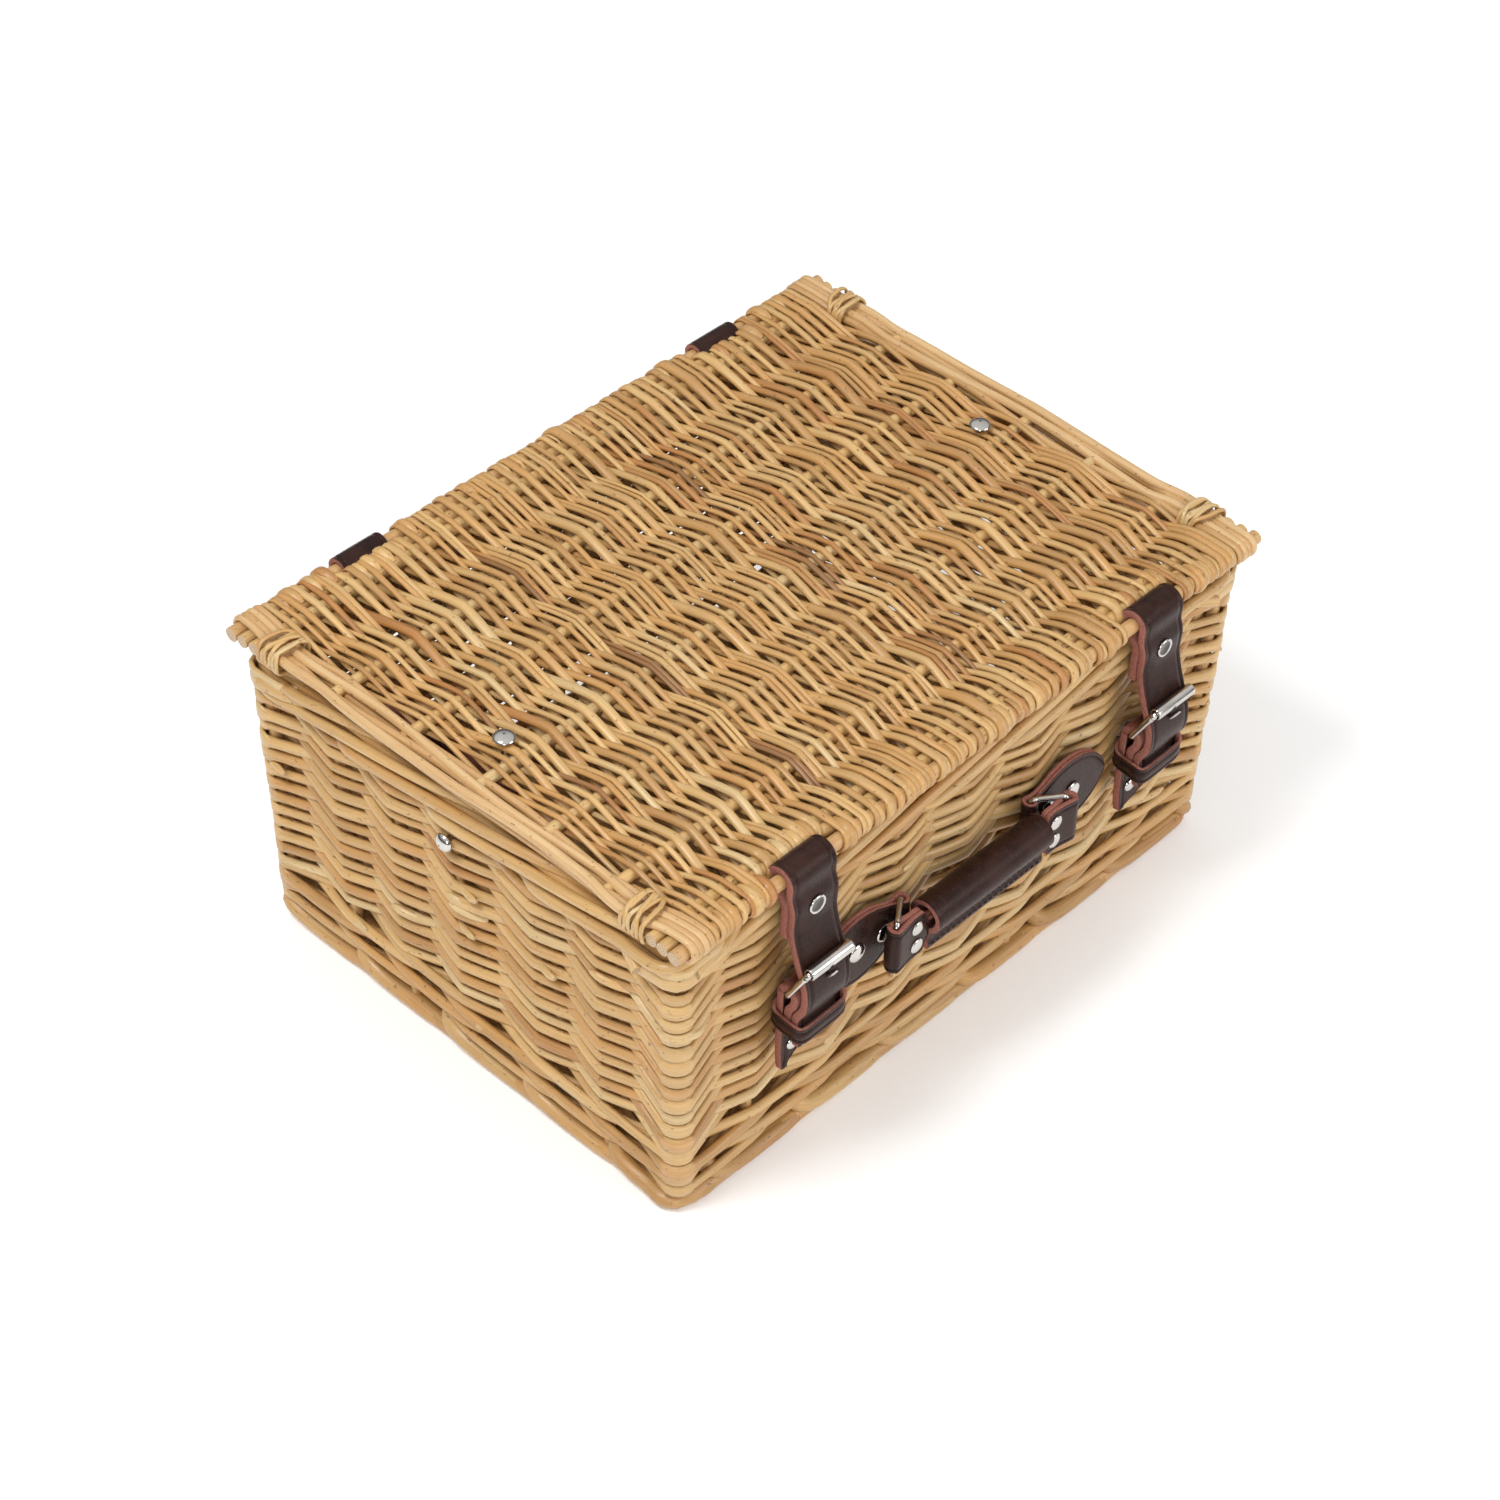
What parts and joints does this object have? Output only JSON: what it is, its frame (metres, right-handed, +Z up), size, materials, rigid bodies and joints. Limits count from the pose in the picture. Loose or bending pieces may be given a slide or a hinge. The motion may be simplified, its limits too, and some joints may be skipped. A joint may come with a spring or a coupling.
{
  "type": "wicker picnic hamper",
  "caption": "Rectangular woven willow hamper with a hinged woven lid held by leather loops, closed by leather straps with roller buckles, and a rolled leather carrying handle on the front.",
  "frame": {"origin": "middle of the flat underside of the hamper", "axes": "+Z up; +X along the length, to the right seen from the front; the front, with the buckles and handle, faces -Y and the lid hinges along the back at +Y"},
  "size_m": [0.3564, 0.287, 0.1741],
  "materials": {
    "willow": "peeled buff willow rods, satin",
    "willow_stick": "thicker buff willow sticks, satin",
    "leather": "dark brown leather, soft sheen, cut edges brick brown",
    "nickel": "nickel plated, polished"
  },
  "bodies": {
    "basket": {"base_panel": "willow", "wall_front": "willow", "wall_back": "willow", "wall_left": "willow", "wall_right": "willow", "corner_post_front_left": "willow", "corner_post_front_right": "willow", "corner_post_back_left": "willow", "corner_post_back_right": "willow", "foot_border": "willow", "rim_border": "willow", "hinge_loop_left": "leather", "hinge_stud_left": "nickel", "wall_stud_left": "nickel", "lower_strap_left": "leather", "lower_stud_left": "nickel", "keeper_left": "leather", "handle_tab_left": "leather", "tab_stud_inner_left": "nickel", "tab_stud_outer_left": "nickel", "hinge_loop_right": "leather", "hinge_stud_right": "nickel", "wall_stud_right": "nickel", "lower_strap_right": "leather", "lower_stud_right": "nickel", "keeper_right": "leather", "handle_tab_right": "leather", "tab_stud_inner_right": "nickel", "tab_stud_outer_right": "nickel"},
    "lid": {"lid_weave": "willow", "lid_stick_front": "willow_stick", "lid_stick_back": "willow_stick", "lid_rods_left": "willow_stick", "lid_binding_front_left": "willow", "lid_binding_back_left": "willow", "lid_stud_left": "nickel", "stay_left": "leather", "lid_rods_right": "willow_stick", "lid_binding_front_right": "willow", "lid_binding_back_right": "willow", "lid_stud_right": "nickel", "stay_right": "leather"},
    "strap_left": {"lid_strap_left": "leather", "strap_rivet_left": "nickel"},
    "buckle_left": {"buckle_frame_left": "nickel"},
    "roller_left": {"buckle_roller_left": "nickel"},
    "prong_left": {"buckle_prong_left": "nickel"},
    "strap_right": {"lid_strap_right": "leather", "strap_rivet_right": "nickel"},
    "buckle_right": {"buckle_frame_right": "nickel"},
    "roller_right": {"buckle_roller_right": "nickel"},
    "prong_right": {"buckle_prong_right": "nickel"},
    "handle": {"handle_grip": "leather", "handle_core": "leather", "handle_rivet_upper_left": "nickel", "handle_rivet_lower_left": "nickel", "handle_rivet_upper_right": "nickel", "handle_rivet_lower_right": "nickel", "handle_ring_left": "nickel", "handle_ring_right": "nickel"}
  },
  "joints": [
    {"name": "lid_hinge", "type": "hinge", "parent": "basket", "child": "lid", "pos_m": [0, 0.129, 0.166], "axis": [-1, 0, 0], "range_deg": [0, 105], "deforming": ["stay_left", "stay_right"]},
    {"name": "strap_left_swing", "type": "hinge", "parent": "lid", "child": "strap_left", "pos_m": [-0.107, -0.129, 0.166], "axis": [-1, 0, 0], "range_deg": [0, 120], "deforming": ["lid_strap_left"]},
    {"name": "buckle_left_fold", "type": "hinge", "parent": "basket", "child": "buckle_left", "pos_m": [-0.107, -0.1357, 0.106], "axis": [1, 0, 0], "range_deg": [0, 70]},
    {"name": "prong_left_lift", "type": "hinge", "parent": "buckle_left", "child": "prong_left", "pos_m": [-0.107, -0.1357, 0.106], "axis": [1, 0, 0], "range_deg": [0, 15]},
    {"name": "roller_left_spin", "type": "hinge", "parent": "buckle_left", "child": "roller_left", "pos_m": [-0.107, -0.1463, 0.126], "axis": [1, 0, 0], "continuous": true},
    {"name": "strap_right_swing", "type": "hinge", "parent": "lid", "child": "strap_right", "pos_m": [0.107, -0.129, 0.166], "axis": [-1, 0, 0], "range_deg": [0, 120], "deforming": ["lid_strap_right"]},
    {"name": "buckle_right_fold", "type": "hinge", "parent": "basket", "child": "buckle_right", "pos_m": [0.107, -0.1357, 0.106], "axis": [1, 0, 0], "range_deg": [0, 70]},
    {"name": "prong_right_lift", "type": "hinge", "parent": "buckle_right", "child": "prong_right", "pos_m": [0.107, -0.1357, 0.106], "axis": [1, 0, 0], "range_deg": [0, 15]},
    {"name": "roller_right_spin", "type": "hinge", "parent": "buckle_right", "child": "roller_right", "pos_m": [0.107, -0.1463, 0.126], "axis": [1, 0, 0], "continuous": true},
    {"name": "handle_lift", "type": "hinge", "parent": "basket", "child": "handle", "pos_m": [-0.008, -0.1322, 0.109], "axis": [-1, 0, 0], "range_deg": [0, 25], "deforming": ["handle_tab_left", "handle_tab_right"]}
  ],
  "couplings": [
    {"joint": "buckle_left_fold", "follows": "strap_left_swing", "ratio": 0.5833},
    {"joint": "prong_left_lift", "follows": "strap_left_swing", "ratio": 0.125},
    {"joint": "buckle_right_fold", "follows": "strap_right_swing", "ratio": 0.5833},
    {"joint": "prong_right_lift", "follows": "strap_right_swing", "ratio": 0.125}
  ]
}
